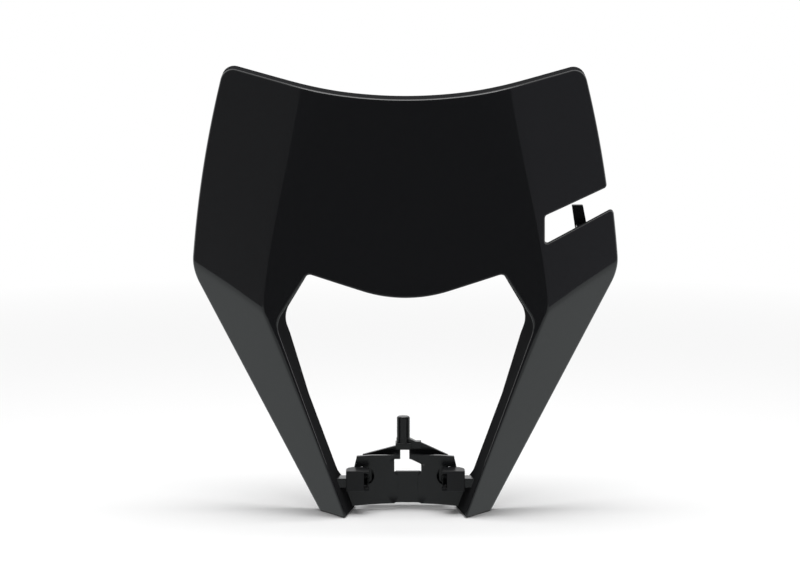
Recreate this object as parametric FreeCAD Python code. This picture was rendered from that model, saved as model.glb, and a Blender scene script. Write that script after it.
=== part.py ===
import FreeCAD, Part
import math
import os

# Headlight cowl of an off-road motorbike, moulded in one piece.
# Millimetres. The front faces -Y, +X is the viewer's right and +Z is up.
# It is drawn with the tips of its legs at depth 0, and moved at the end so that the zero
# point lies on the floor under the middle of its width and depth.

V = FreeCAD.Vector

# Walls
wall = 2.8
rim_wall = 2.4
top_rim_depth = 14.0
side_rim_depth = 6.0
top_rim_draft = 4.0

# Face, seen in plan and from the side
face_front_y = -6.2
face_front_height = 170.0
face_plan_radius = 400.0
face_profile_radius = 3000.0

# Crease between the face and each wing
knee_half_width = 83.3
knee_height = 124.0
crease_top_half_width = 55.3
crease_straightness = 0.404
crease_round = 3.0
crease_fade_start = 0.33
crease_fade_round = 58.5

# Wings
wing_angle_low = 48.0
wing_angle_high = 40.0
wing_crown = 1.6
wing_crown_place = 0.35
wing_half_width = 126.9
widest_height = 140.0
widest_round = 30.0
side_mid_half_width = 117.9
side_mid_height = 212.0
side_top_half_width = 100.4
side_top_rise = 37.3
right_upper_inset = 2.2

# Top edge
top_edge_height = 247.7
top_edge_radius = 330.0
top_edge_slope = 0.135
top_corner_round = 9.0

# Legs
tip_half_width = 34.8
foot_half_width = 50.5
foot_depth = 20.6

# Lamp opening: its top edge bulges down, its corners and its leg sides lean inwards as they go back
bulge_height = 132.0
bulge_radius = 85.0
bulge_slope = 0.31
leg_tail_width = 3.74
opening_leg_draft = 0.185
opening_corner_half_width = 57.2
opening_corner_rise = 21.2
opening_corner_slope = 0.638
opening_corner_draft = 0.11
opening_knee_round = 14.0
opening_corner_round = 3.5
bulge_rim_depth = 8.0
bulge_share = 12.0

# Inner walls of the legs: height, then how far back the wall reaches
leg_wall = 2.4
leg_wall_reach = [
    (-5.0, 34.0),
    (14.0, 31.0),
    (25.0, 20.5),
    (knee_height - 54.0, 20.0),
    (knee_height - 20.0, 28.0),
    (knee_height - 6.0, 28.0),
    (knee_height + 8.0, 18.0),
    (knee_height + 26.0, 3.0),
]
foot_floor = 2.4

# Hose notch in the right wing
notch_end_half_width = 81.0
notch_upper_end_height = 178.4
notch_upper_slope = 0.314
notch_lower_end_height = 161.3
notch_lower_slope = 0.373
notch_end_round = 1.8
notch_mouth_round = 2.2
notch_rim_depth = 7.0

# Bridge between the feet of the legs
web_depth = 24.5
web_sag = 2.0
web_wall = 2.5
web_half_width = 28.8
web_top_height = 33.0
web_top_drop = 0.6
web_top_half_width = 20.2
web_bottom_end_height = 2.2
web_bottom_mid_height = 4.0
web_shoulder_half_width = 30.6
web_shoulder_height = 24.6
web_hip_height = 18.0

# Rear wall of the bridge, its side ribs and the locating pin that stands on it
rear_wall_depth = 35.0
rear_wall = 2.6
rear_wall_half_width = 25.5
rear_wall_left_height = 31.2
rear_wall_right_height = 31.0
rear_wall_block_height = 36.4
rear_wall_latch_height = 38.4
rear_wall_bottom_height = 6.0
rib_half_width = 21.0
rib_top_height = 28.2
pin_x = -1.2
pin_radius = 3.85
pin_chamfer = 0.6
pin_top_height = 54.2
pin_base_radius = 4.15
pin_base_top = 41.2
pin_block_width = 9.4
pin_block_depth = 9.0
pin_block_bottom = 34.6
pin_block_top = 38.6
latch_length = 6.5
latch_slope_length = 3.3
latch_width = 5.2
latch_height = 40.8
latch_low_height = 39.2

# Window through the bridge
window_left = -6.6
window_right = 9.4
window_bottom = 22.8
window_top = 30.6
window_right_top = 27.6
window_step_right = 3.1
window_slot_left = -3.0
window_slot_right = 2.3
window_slot_top = 36.4
window_drop = 0.22

# Cups for the lower lamp pivots
cup_hole_half_width = 24.4
cup_hole_height = 20.6
cup_hole_radius = 5.9
cup_inner_half_width = 21.5
cup_outer_half_width = 35.0
cup_front_depth = 9.0
cup_top_height = 26.6
cup_bottom_height = 14.4
cup_wall = 1.8
cup_slot_half_width = 24.4
cup_depth = 13.2
cup_ear_height = 5.6

# Strap hooks behind the wings
hook_half_width = 104.6
hook_width = 7.4
hook_height = 166.0
hook_arm = 4.6
hook_reach = 50.0
hook_finger = 4.0
hook_top_height = 179.6
hook_lean = 3.2
hook_taper = 0.8

# Bosses for the upper lamp screws
boss_half_width = 62.0
boss_height = 158.0
boss_radius = 4.6
boss_bore_radius = 1.9
boss_reach = 22.0
boss_bore_depth = 16.0

# Extent of the blocks that trim the shell
far = 220.0
slab_size = 500.0
overlap = 1.0
seat_depth = 0.4
skin_half_width = 160.0
floor_trim = 20.0
block_depth = 260.0
skin_bottom = -30.0
skin_above = 42.3
skin_rows = 12
opening_front = -30.0
opening_back = 60.0
outline_front = -60.0
outline_back = 140.0
rim_step_drop = 11.7
rim_step_depth = 56.0

# Sizes that follow from the ones above
skin_top = top_edge_height + skin_above
side_top_height = top_edge_height + side_top_rise
rim_step_height = top_edge_height - rim_step_drop
opening_corner_height = knee_height + opening_corner_rise
opening_leg_slope = (knee_half_width - leg_tail_width - tip_half_width) / knee_height


def height_share(z):
    """0 at the knee and 1 at the top edge."""
    return (z - knee_height) / (top_edge_height - knee_height)


def centre_depth(z):
    return face_front_y + (z - face_front_height) ** 2 / (2 * face_profile_radius)


def crease_half_width(z):
    share = height_share(z)
    inward = crease_straightness * share + (1 - crease_straightness) * share ** 2
    return knee_half_width - (knee_half_width - crease_top_half_width) * inward


def crease_spread(z):
    past = max(0.0, height_share(z) - crease_fade_start)
    return crease_round + crease_fade_round * past ** 2


def half_section(z):
    """Control points of one half of the skin at a height, from the centre out to past the edge."""
    centre = centre_depth(z)
    x_crease = crease_half_width(z)
    spread = crease_spread(z)

    def on_face(x):
        return V(x, centre + x * x / (2 * face_plan_radius), z)

    angle = math.radians(wing_angle_low + (wing_angle_high - wing_angle_low) * height_share(z))
    along = V(math.cos(angle), math.sin(angle), 0)
    outward = V(math.sin(angle), -math.cos(angle), 0)
    crease = on_face(x_crease)
    reach = (skin_half_width - x_crease) / math.cos(angle)
    return [
        on_face(0.0),
        on_face((x_crease - spread) / 2),
        on_face(x_crease - spread),
        crease,
        crease + along * spread,
        crease + along * (spread + (reach - spread) * wing_crown_place) + outward * wing_crown,
        crease + along * reach,
    ]


def offset_points(points, distance):
    """Move an open control polygon sideways, towards the back, keeping its sides parallel."""
    moved = []
    for i, point in enumerate(points):
        before = points[max(i - 1, 0)]
        after = points[min(i + 1, len(points) - 1)]
        first = (point - before) if i > 0 else (after - point)
        second = (after - point) if i < len(points) - 1 else first
        first.normalize()
        second.normalize()
        side_a = V(-first.y, first.x, 0)
        side_b = V(-second.y, second.x, 0)
        moved.append(point + (side_a + side_b) * (distance / (1 + side_a.dot(side_b))))
    return moved


def clamped_knots(count):
    """Knots and multiplicities of a cubic spline with so many control points, spaced evenly."""
    spans = count - 3
    knots = [float(k) for k in range(spans + 1)]
    return knots, [4] + [1] * (spans - 1) + [4]


def skin_heights(count):
    """Heights of the rows of control points, placed so that height runs evenly up the skin."""
    knots, multiplicities = clamped_knots(count)
    full = [k for k, m in zip(knots, multiplicities) for _ in range(m)]
    spans = count - 3
    span = skin_top - skin_bottom
    return [skin_bottom + span * sum(full[i + 1:i + 4]) / 3 / spans for i in range(count)]


def skin_block(inset):
    """Everything behind the face and wings, with the skin moved in by the inset."""
    rows = []
    for z in skin_heights(skin_rows):
        right = half_section(z)
        left = [V(-p.x, p.y, p.z) for p in reversed(right[1:])]
        rows.append(offset_points(left + right, inset))
    knots_up, multiplicities_up = clamped_knots(len(rows))
    knots_across, multiplicities_across = clamped_knots(len(rows[0]))
    surface = Part.BSplineSurface()
    surface.buildFromPolesMultsKnots(
        rows, multiplicities_up, multiplicities_across, knots_up, knots_across, False, False, 3, 3
    )
    return surface.toShape().extrude(V(0, block_depth, 0))


def leg_slab(side, inset):
    """Everything behind the flat outer side of one leg."""
    knee_depth = centre_depth(knee_height) + knee_half_width ** 2 / (2 * face_plan_radius)
    knee = V(side * knee_half_width, knee_depth, knee_height)
    tip = V(side * tip_half_width, 0, 0)
    foot = V(side * foot_half_width, foot_depth, 0)
    up = knee - tip
    back = foot - tip
    inward = up.cross(back)
    inward.normalize()
    if inward.y < 0:
        inward = inward * -1
    across = inward.cross(up)
    across.normalize()
    up.normalize()
    centre = tip + inward * inset
    corners = [
        centre + (up + across) * slab_size,
        centre + (up - across) * slab_size,
        centre - (up + across) * slab_size,
        centre - (up - across) * slab_size,
    ]
    return Part.Face(Part.makePolygon(corners + corners[:1])).extrude(inward * slab_size)


def prism(points, y_from, y_to, rise=0.0):
    """A block with the given outline in X and Z, run from front to back."""
    corners = [V(x, y_from, z + rise * y_from) for x, z in points]
    face = Part.Face(Part.makePolygon(corners + corners[:1]))
    depth = y_to - y_from
    return face.extrude(V(0, depth, rise * depth))


def round_corner(solid, x, z, radius):
    """Round the front-to-back edge that lies nearest to a place in X and Z."""
    def distance(edge):
        centre = edge.CenterOfMass
        return math.hypot(centre.x - x, centre.z - z)
    runs = [e for e in solid.Edges if abs(e.tangentAt(e.FirstParameter).y) > 0.9]
    nearest = min(runs, key=distance)
    return solid.makeFillet(radius, [nearest])


def outline_block(inset):
    """The outline of the cowl seen from the front, without its openings."""
    y_from = outline_front
    y_to = outline_back
    foot = (foot_half_width - inset, 0.0)
    widest = (wing_half_width - inset, widest_height)
    slope = (widest[0] - foot[0]) / widest_height
    low = (foot[0] - slope * floor_trim, -floor_trim)
    top_x = side_top_half_width - inset
    mid_x = side_mid_half_width - inset

    def at(x, z):
        return V(x, y_from, z)

    right_arc = Part.Arc(at(*widest), at(mid_x, side_mid_height), at(top_x, side_top_height)).toShape()
    left_arc = Part.Arc(
        at(-top_x, side_top_height),
        at(-mid_x, side_mid_height),
        at(-widest[0], widest[1]),
    ).toShape()
    wire = Part.Wire([
        Part.makeLine(at(*low), at(*widest)),
        right_arc,
        Part.makeLine(at(top_x, side_top_height), at(-top_x, side_top_height)),
        left_arc,
        Part.makeLine(at(-widest[0], widest[1]), at(-low[0], low[1])),
        Part.makeLine(at(-low[0], low[1]), at(*low)),
    ])
    sides = Part.Face(wire).extrude(V(0, y_to - y_from, 0))
    for side in (1, -1):
        sides = round_corner(sides, side * widest[0], widest[1], widest_round)
    block = sides.common(top_block(inset, y_from, y_to))
    for side in (1, -1):
        x = side * top_corner_half_width()
        block = round_corner(block, x, top_corner_height(), top_corner_round - inset)
    return block


def side_half_width(z):
    """Half width of the outline above the widest place, on the arc through its three places."""
    low = V(wing_half_width, widest_height, 0)
    mid = V(side_mid_half_width, side_mid_height, 0)
    high = V(side_top_half_width, side_top_height, 0)
    circle = Part.Arc(low, mid, high).toShape().Curve
    rise = z - circle.Center.y
    return circle.Center.x + math.sqrt(circle.Radius ** 2 - rise ** 2)


def top_corner_half_width():
    return side_half_width(top_edge_height + top_edge_slope * side_top_half_width)


def top_corner_height():
    straight = top_corner_half_width() - top_edge_radius * top_edge_slope / 2
    return top_edge_height + top_edge_slope * straight


def notched_outline():
    """The outline with the hose notch, its rounded mouth and the set-in wing edge above it."""
    block = outline_block(0.0)
    set_in = block.copy()
    set_in.translate(V(-right_upper_inset, 0, 0))
    above = box(0.0, far, outline_front - overlap, far, notch_upper_end_height, 2 * far)
    block = block.cut(above.cut(set_in)).cut(notch_block(0.0))
    lower_x = side_half_width(notch_lower_end_height)
    upper_x = side_half_width(notch_upper_end_height) - right_upper_inset
    lower_z = notch_lower_end_height + notch_lower_slope * (lower_x - notch_end_half_width)
    upper_z = notch_upper_end_height + notch_upper_slope * (upper_x - notch_end_half_width)
    block = round_corner(block, lower_x, lower_z, notch_mouth_round)
    return round_corner(block, upper_x, upper_z, notch_mouth_round)


def top_block(inset, y_from, y_to):
    """Everything under the top edge, which is an arc between two straight runs."""
    rise = math.tan(math.radians(top_rim_draft))
    join = top_edge_radius * math.sin(math.atan(top_edge_slope))
    sag = top_edge_radius - math.sqrt(top_edge_radius ** 2 - join ** 2)
    base = top_edge_height - inset
    end_height = base + sag + (far - join) * top_edge_slope
    shift = rise * y_from

    def at(x, z):
        return V(x, y_from, z + shift)

    wire = Part.Wire([
        Part.Arc(at(-join, base + sag), at(0, base), at(join, base + sag)).toShape(),
        Part.makeLine(at(join, base + sag), at(far, end_height)),
        Part.makeLine(at(far, end_height), at(far, -3 * floor_trim)),
        Part.makeLine(at(far, -3 * floor_trim), at(-far, -3 * floor_trim)),
        Part.makeLine(at(-far, -3 * floor_trim), at(-far, end_height)),
        Part.makeLine(at(-far, end_height), at(-join, base + sag)),
    ])
    return Part.Face(wire).extrude(V(0, y_to - y_from, rise * (y_to - y_from)))


def front_block(inset):
    """Everything behind the front of the cowl, wings and legs included."""
    skin = skin_block(inset)
    return skin.common(leg_slab(1, inset)).common(leg_slab(-1, inset))


def moved_back(solid, distance):
    copy = solid.copy()
    copy.translate(V(0, distance, 0))
    return copy


def side_prism(points, half_width):
    """A block with the given outline in Y and Z, run across the cowl."""
    corners = [V(-half_width, y, z) for y, z in points]
    face = Part.Face(Part.makePolygon(corners + corners[:1]))
    return face.extrude(V(2 * half_width, 0, 0))


def box(x_low, x_high, y_low, y_high, z_low, z_high):
    return Part.makeBox(x_high - x_low, y_high - y_low, z_high - z_low, V(x_low, y_low, z_low))


def mirrored(shape):
    return shape.mirror(V(0, 0, 0), V(1, 0, 0))


def opening_corners(y, grow):
    """Right half of the lamp opening at a depth: foot, knee and upper corner, moved out by grow."""
    leg_out = grow * math.hypot(1, opening_leg_slope)
    corner_out = grow * math.hypot(1, opening_corner_slope)
    leg_base = tip_half_width - opening_leg_draft * y + leg_out
    corner_base = opening_corner_half_width + opening_corner_slope * opening_corner_height
    corner_base += corner_out - opening_corner_draft * y
    knee_z = (corner_base - leg_base) / (opening_leg_slope + opening_corner_slope)
    knee_x = leg_base + opening_leg_slope * knee_z
    join, sag = bulge_join()
    bulge_base = bulge_height + sag - bulge_slope * join + grow
    both_slopes = opening_corner_slope * bulge_slope
    corner_x = (corner_base - opening_corner_slope * bulge_base) / (1 + both_slopes)
    corner_z = bulge_base + bulge_slope * corner_x
    foot_x = leg_base - opening_leg_slope * floor_trim
    return (foot_x, -floor_trim), (knee_x, knee_z), (corner_x, corner_z)


def bulge_join():
    """Where the arc of the bulge meets its straight runs: distance from the middle, and rise."""
    join = bulge_radius * math.sin(math.atan(bulge_slope))
    return join, bulge_radius - math.sqrt(bulge_radius ** 2 - join ** 2)


def opening_block(grow):
    """The space of the lamp opening, moved outwards by grow."""
    wires = []
    join, sag = bulge_join()
    for y in (opening_front, opening_back):
        foot, knee, corner = opening_corners(y, grow)

        def at(x, z):
            return V(x, y, z)

        wires.append(Part.Wire([
            Part.makeLine(at(*foot), at(*knee)),
            Part.makeLine(at(*knee), at(*corner)),
            Part.makeLine(at(*corner), at(join, bulge_height + sag + grow)),
            Part.Arc(
                at(join, bulge_height + sag + grow),
                at(0, bulge_height + grow),
                at(-join, bulge_height + sag + grow),
            ).toShape(),
            Part.makeLine(at(-join, bulge_height + sag + grow), at(-corner[0], corner[1])),
            Part.makeLine(at(-corner[0], corner[1]), at(-knee[0], knee[1])),
            Part.makeLine(at(-knee[0], knee[1]), at(-foot[0], foot[1])),
            Part.makeLine(at(-foot[0], foot[1]), at(*foot)),
        ]))
    block = Part.makeLoft(wires, True, True)
    foot, knee, corner = opening_corners(0.0, grow)
    for side in (1, -1):
        block = round_corner(block, side * knee[0], knee[1], opening_knee_round + grow)
        block = round_corner(block, side * corner[0], corner[1], opening_corner_round + grow)
    return block


def opening_walls(front):
    """Walls that run back from the edge of the opening: deep beside the legs, shallow at the bulge."""
    walls = front.common(opening_block(leg_wall)).cut(opening_block(0.0))
    half = opening_corner_half_width
    bulge_low = bulge_height - bulge_share
    middle = box(-half, half, opening_front, opening_back, bulge_low, face_front_height)
    reach = [(opening_front, leg_wall_reach[-1][0]), (opening_front, leg_wall_reach[0][0])]
    reach += [(y, z) for z, y in leg_wall_reach]
    sides = walls.cut(middle).common(side_prism(reach, far))
    bulge = walls.common(middle).cut(moved_back(front, bulge_rim_depth))
    return sides.fuse(bulge)


def notch_corners(grow):
    """Outline of the hose notch, moved outwards by grow and open past the edge of the wing."""
    end = notch_end_half_width - grow
    upper = notch_upper_end_height + grow * math.hypot(1, notch_upper_slope)
    lower = notch_lower_end_height - grow * math.hypot(1, notch_lower_slope)
    past = far - notch_end_half_width

    return [
        (end, lower - notch_lower_slope * grow),
        (far, lower + notch_lower_slope * past),
        (far, upper + notch_upper_slope * past),
        (end, upper - notch_upper_slope * grow),
    ]


def notch_block(grow):
    corners = notch_corners(grow)
    block = prism(corners, opening_front, block_depth)
    block = round_corner(block, corners[0][0], corners[0][1], notch_end_round + grow)
    return round_corner(block, corners[3][0], corners[3][1], notch_end_round + grow)


def shell(front):
    """Face, wings and legs as one thin wall with a rim that runs back from its outline."""
    plug = front.common(outline_block(0.0))
    hollow = front_block(wall).common(outline_block(rim_wall))
    body = plug.cut(hollow)
    body = body.cut(moved_back(front, top_rim_depth))
    step = rim_step_height - rim_step_depth
    low = side_prism([(-far, -far), (far, -far), (far, far + step), (-far, step - far)], far)
    return body.cut(moved_back(front, side_rim_depth).common(low))


def curved_slab(depth, sag, thickness, half_width):
    """An upright slab whose middle stands further back than its ends."""
    def arc(offset):
        return Part.Arc(
            V(-half_width, depth + offset, -floor_trim),
            V(0, depth + sag + offset, -floor_trim),
            V(half_width, depth + offset, -floor_trim),
        ).toShape()
    front_arc = arc(0.0)
    rear_arc = arc(thickness)
    ends = [
        Part.makeLine(V(x, depth, -floor_trim), V(x, depth + thickness, -floor_trim))
        for x in (-half_width, half_width)
    ]
    face = Part.Face(Part.Wire(Part.__sortEdges__([front_arc, ends[1], rear_arc, ends[0]])))
    return face.extrude(V(0, 0, 4 * floor_trim + web_top_height))


def leg_inside(y, z):
    """Half distance between the inner walls of the legs at a depth and a height."""
    return tip_half_width - opening_leg_draft * y + opening_leg_slope * z


def web():
    """Front plate of the bridge, joined to both legs at its foot and arched at its bottom edge."""
    seat = leg_wall / 2
    low = leg_inside(web_depth, web_bottom_end_height) + seat
    hip = leg_inside(web_depth, web_hip_height) + seat
    right = [
        (low, web_bottom_end_height),
        (hip, web_hip_height),
        (web_shoulder_half_width, web_shoulder_height),
        (web_half_width, web_top_height - web_top_drop),
        (web_top_half_width, web_top_height),
    ]
    left = [(-x, z) for x, z in reversed(right)]
    y_to = web_depth + 2 * web_sag + web_wall

    def at(x, z):
        return V(x, 0, z)

    corners = right + left
    edges = [Part.makeLine(at(*a), at(*b)) for a, b in zip(corners, corners[1:])]
    arch = Part.Arc(at(*left[-1]), at(0, web_bottom_mid_height), at(*right[0])).toShape()
    outline = Part.Face(Part.Wire(edges + [arch])).extrude(V(0, y_to, 0))
    return outline.common(curved_slab(web_depth, web_sag, web_wall, far / 2))


def rear_bridge():
    """Wall behind the web, with two ribs to it and the block that carries the pin."""
    front_y = rear_wall_depth
    back_y = rear_wall_depth + rear_wall
    wall_outline = [
        (-rear_wall_half_width, rear_wall_bottom_height),
        (rear_wall_half_width, rear_wall_bottom_height),
        (rear_wall_half_width, rear_wall_right_height),
        (pin_x + pin_base_radius + latch_length, rear_wall_latch_height),
        (pin_x - pin_block_width / 2, rear_wall_block_height),
        (-rear_wall_half_width, rear_wall_left_height),
    ]
    body = prism(wall_outline, front_y, back_y)
    for side in (1, -1):
        left = side * rib_half_width - web_wall / 2
        right = left + web_wall
        rib_front = web_depth + overlap
        rib_back = front_y + overlap
        body = body.fuse(box(left, right, rib_front, rib_back, rear_wall_bottom_height, rib_top_height))
    pin_y = rear_wall_depth + rear_wall / 2
    half = pin_block_width / 2
    block_front = pin_y - pin_block_depth / 2
    block_back = pin_y + pin_block_depth / 2
    block = box(pin_x - half, pin_x + half, block_front, block_back, pin_block_bottom, pin_block_top)
    latch_start = pin_x + pin_base_radius
    latch = prism([
        (pin_x, pin_block_bottom),
        (latch_start + latch_length, pin_block_bottom),
        (latch_start + latch_length, latch_low_height),
        (latch_start + latch_slope_length, latch_low_height),
        (latch_start, latch_height),
        (pin_x, latch_height),
    ], pin_y - latch_width / 2, pin_y + latch_width / 2)
    return body.fuse([block, latch, pin(pin_y)])


def pin(pin_y):
    """Locating pin with a chamfered end, on a slightly wider base that the latch leans against."""
    foot = V(pin_x, pin_y, pin_block_bottom)
    body = Part.makeCylinder(pin_radius, pin_top_height - pin_block_bottom, foot)
    top = max(body.Faces, key=lambda face: face.CenterOfMass.z)
    body = body.makeChamfer(pin_chamfer, top.Edges)
    return body.fuse(Part.makeCylinder(pin_base_radius, pin_base_top - pin_block_bottom, foot))


def window():
    """Window through the web and the wall behind it, running slightly down towards the back."""
    corners = [
        (window_left, window_bottom),
        (window_right, window_bottom),
        (window_right, window_right_top),
        (window_step_right, window_top),
        (window_slot_right, window_top),
        (window_slot_right, window_slot_top),
        (window_slot_left, window_slot_top),
        (window_slot_left, window_top),
        (window_left, window_top),
    ]
    raised = [(x, z + window_drop * web_depth) for x, z in corners]
    return prism(raised, 0.0, rear_wall_depth + pin_block_depth, -window_drop)


def cup_outline(inset, z_low, z_high):
    """A D in plan: flat in front, round at the back, moved in by the inset."""
    left = cup_inner_half_width + inset
    right = cup_outer_half_width - inset
    front_y = cup_front_depth + inset
    radius = (right - left) / 2
    shoulder = cup_front_depth + cup_depth - (cup_outer_half_width - cup_inner_half_width) / 2

    def at(x, y):
        return V(x, y, z_low)

    wire = Part.Wire([
        Part.makeLine(at(left, front_y), at(right, front_y)),
        Part.makeLine(at(right, front_y), at(right, shoulder)),
        Part.Arc(at(right, shoulder), at(left + radius, shoulder + radius), at(left, shoulder)).toShape(),
        Part.makeLine(at(left, shoulder), at(left, front_y)),
    ])
    return Part.Face(wire).extrude(V(0, 0, z_high - z_low))


def cup():
    """Hood in front of the web beside the right leg, open to the middle, with an ear to the leg."""
    hood = cup_outline(0.0, cup_bottom_height, cup_top_height)
    floor = cup_bottom_height + cup_wall
    ceiling = cup_top_height - cup_wall
    pocket = cup_outline(cup_wall, floor, ceiling)
    back = web_depth + web_sag
    front = cup_front_depth - overlap
    mouth = box(cup_inner_half_width - overlap, cup_slot_half_width, front, back, floor, ceiling)
    neck_left = (cup_inner_half_width + cup_outer_half_width) / 2 - cup_wall
    seat_y = cup_front_depth + cup_depth - cup_wall
    neck_front = seat_y - cup_wall
    neck_back = web_depth + web_sag / 2
    neck_top = ceiling - cup_wall
    neck = box(neck_left, cup_outer_half_width, neck_front, neck_back, cup_bottom_height, neck_top)
    ear_left = cup_outer_half_width - cup_wall
    ear_right = leg_inside(cup_front_depth + cup_depth / 2, cup_hole_height) + leg_wall / 2
    ear_front = cup_front_depth + cup_wall
    ear = box(ear_left, ear_right, ear_front, seat_y, floor, floor + cup_ear_height)
    return hood.cut(pocket).cut(mouth).fuse([neck, ear])


def rod(x, y_from, y_to, z, radius):
    """A cylinder that runs from front to back."""
    return Part.makeCylinder(radius, y_to - y_from, V(x, y_from, z), V(0, 1, 0))


def cup_hole():
    y_from = cup_front_depth + cup_wall + overlap
    y_to = rear_wall_depth - overlap
    return rod(cup_hole_half_width, y_from, y_to, cup_hole_height, cup_hole_radius)


def hook():
    """Strap hook behind the right wing: an arm that runs back and a finger that leans inwards."""
    x_low = hook_half_width - hook_width / 2
    x_high = hook_half_width + hook_width / 2
    z_low = hook_height - hook_arm / 2
    arm = box(x_low, x_high, 0.0, hook_reach, z_low, z_low + hook_arm)
    finger = prism([
        (x_low, z_low),
        (x_high, z_low),
        (x_high - hook_lean, hook_top_height),
        (x_low - hook_lean + hook_taper, hook_top_height),
    ], hook_reach - hook_finger, hook_reach)
    return arm.fuse(finger)


def lamp_boss():
    return rod(boss_half_width, opening_front, boss_reach, boss_height, boss_radius)


def lamp_bore():
    y_from = boss_reach - boss_bore_depth
    return rod(boss_half_width, y_from, boss_reach + overlap, boss_height, boss_bore_radius)


def save(name, shape):
    os.makedirs("parts", exist_ok=True)
    shape.exportStep("parts/" + name + ".step")


def build():
    front = front_block(0.0)
    inside = front_block(seat_depth).common(outline_block(seat_depth))
    body = shell(front)
    body = body.cut(opening_block(0.0))
    body = body.fuse(opening_walls(front).common(outline_block(0.0)))
    plug = front.common(outline_block(0.0))
    notch_rim = plug.common(notch_block(rim_wall))
    notch_rim = notch_rim.cut(moved_back(front, notch_rim_depth))
    body = body.fuse(notch_rim).common(notched_outline())
    rights = [cup(), hook().common(inside), lamp_boss().common(inside)]
    sole = plug.cut(opening_block(0.0)).common(box(-far, far, -far, foot_depth, 0.0, foot_floor))
    additions = [web(), rear_bridge(), sole] + rights + [mirrored(r) for r in rights]
    body = body.fuse(additions)
    for cut in (window(), cup_hole(), mirrored(cup_hole()), lamp_bore(), mirrored(lamp_bore())):
        body = body.cut(cut)
    body = body.common(box(-far, far, -far, far, 0.0, 2 * far))
    return body.removeSplitter()


def centred(shape):
    """Put the zero point on the floor under the middle of the cowl's width and depth."""
    extent = shape.optimalBoundingBox()
    middle_x = (extent.XMin + extent.XMax) / 2
    middle_y = (extent.YMin + extent.YMax) / 2
    shape.translate(V(-middle_x, -middle_y, -extent.ZMin))
    return shape


cowl = centred(build())
print("valid", cowl.isValid(), "solids", len(cowl.Solids), "faces", len(cowl.Faces))
print("volume", round(cowl.Volume), "extent", cowl.optimalBoundingBox())
save("cowl", cowl)
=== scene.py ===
import math

import bmesh
import bpy
import numpy as np
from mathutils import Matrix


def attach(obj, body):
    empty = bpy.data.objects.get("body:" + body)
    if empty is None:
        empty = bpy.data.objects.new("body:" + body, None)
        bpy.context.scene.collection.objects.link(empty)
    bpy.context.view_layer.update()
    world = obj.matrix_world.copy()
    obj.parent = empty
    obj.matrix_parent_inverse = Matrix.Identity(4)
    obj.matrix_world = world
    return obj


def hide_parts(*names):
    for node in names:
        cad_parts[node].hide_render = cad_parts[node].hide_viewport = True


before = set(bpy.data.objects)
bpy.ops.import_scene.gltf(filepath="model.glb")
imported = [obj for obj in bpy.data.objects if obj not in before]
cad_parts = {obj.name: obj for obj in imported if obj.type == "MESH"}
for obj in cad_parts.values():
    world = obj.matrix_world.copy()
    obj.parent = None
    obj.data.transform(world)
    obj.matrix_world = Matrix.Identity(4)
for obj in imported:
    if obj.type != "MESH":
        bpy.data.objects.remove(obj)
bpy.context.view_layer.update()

# Camera.
# A long lens stands two metres in front of the cowl and a little above it, and looks down by
# nine degrees, so the cowl's upright lines stay almost parallel.
camera_distance = 2.0
camera_rise = math.radians(9.0)
camera_aim = (-0.0032, -0.0007, 0.1358)

camera_data = bpy.data.cameras.new("camera")
camera_data.lens = 153.06
camera_data.sensor_width = 36.0
link = bpy.context.scene.collection.objects.link
camera = bpy.data.objects.new("camera", camera_data)
link(camera)
camera.location = (
    camera_aim[0],
    camera_aim[1] - camera_distance * math.cos(camera_rise),
    camera_aim[2] + camera_distance * math.sin(camera_rise),
)
camera.rotation_euler = (math.pi / 2 - camera_rise, 0, 0)
bpy.context.scene.camera = camera

# Shell of the cowl.
# One glossy black moulding about 2.8 mm thick: a gently arched face, two wings swept back from a
# soft crease, and two legs with flat outer sides. Its edges turn back as rims that stiffen it.
# Sizes here are in millimetres, with the tips of the legs at depth 0, and are put into the
# frame's metres when a mesh is made.
wall = 2.8
rim_wall = 2.4
tip_depth = 26.2403
face_front = -6.2
face_front_height = 170.0
face_plan_radius = 400.0
face_profile_radius = 3000.0
knee_half_width = 83.3
knee_height = 124.0
crease_top_half_width = 55.3
crease_straightness = 0.404
crease_round = 3.0
crease_fade_start = 0.33
crease_fade_round = 58.5
wing_angle_low = 48.0
wing_angle_high = 40.0
wing_crown = 1.6
wing_crown_place = 0.35
wing_half_width = 126.9
widest_height = 140.0
widest_round = 30.0
side_mid = (117.9, 212.0)
side_top = (100.4, 285.0)
right_upper_inset = 2.2
top_edge_height = 247.7
top_edge_radius = 330.0
top_edge_slope = 0.135
top_corner_round = 9.0
top_rim_draft = math.tan(math.radians(4.0))
tip_half_width = 34.8
foot_half_width = 50.5
foot_depth = 20.6
foot_corner_round = 1.7
fold_round = 0.5
skin_half_width = 160.0
skin_bottom = -30.0
skin_top = top_edge_height + 42.3
skin_rows = 12
newton_steps = 12


def height_share(z):
    """0 at the knee and 1 at the top edge."""
    return (z - knee_height) / (top_edge_height - knee_height)


def centre_depth(z):
    """Depth of the middle of the face: a parabola, furthest forward at its front height."""
    return face_front + (z - face_front_height) ** 2 / (2 * face_profile_radius)


def crease_half_width(z):
    """Half width of the crease, which runs inwards partly with height and partly with its square."""
    share = height_share(z)
    inward = crease_straightness * share + (1 - crease_straightness) * share ** 2
    return knee_half_width - (knee_half_width - crease_top_half_width) * inward


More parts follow.
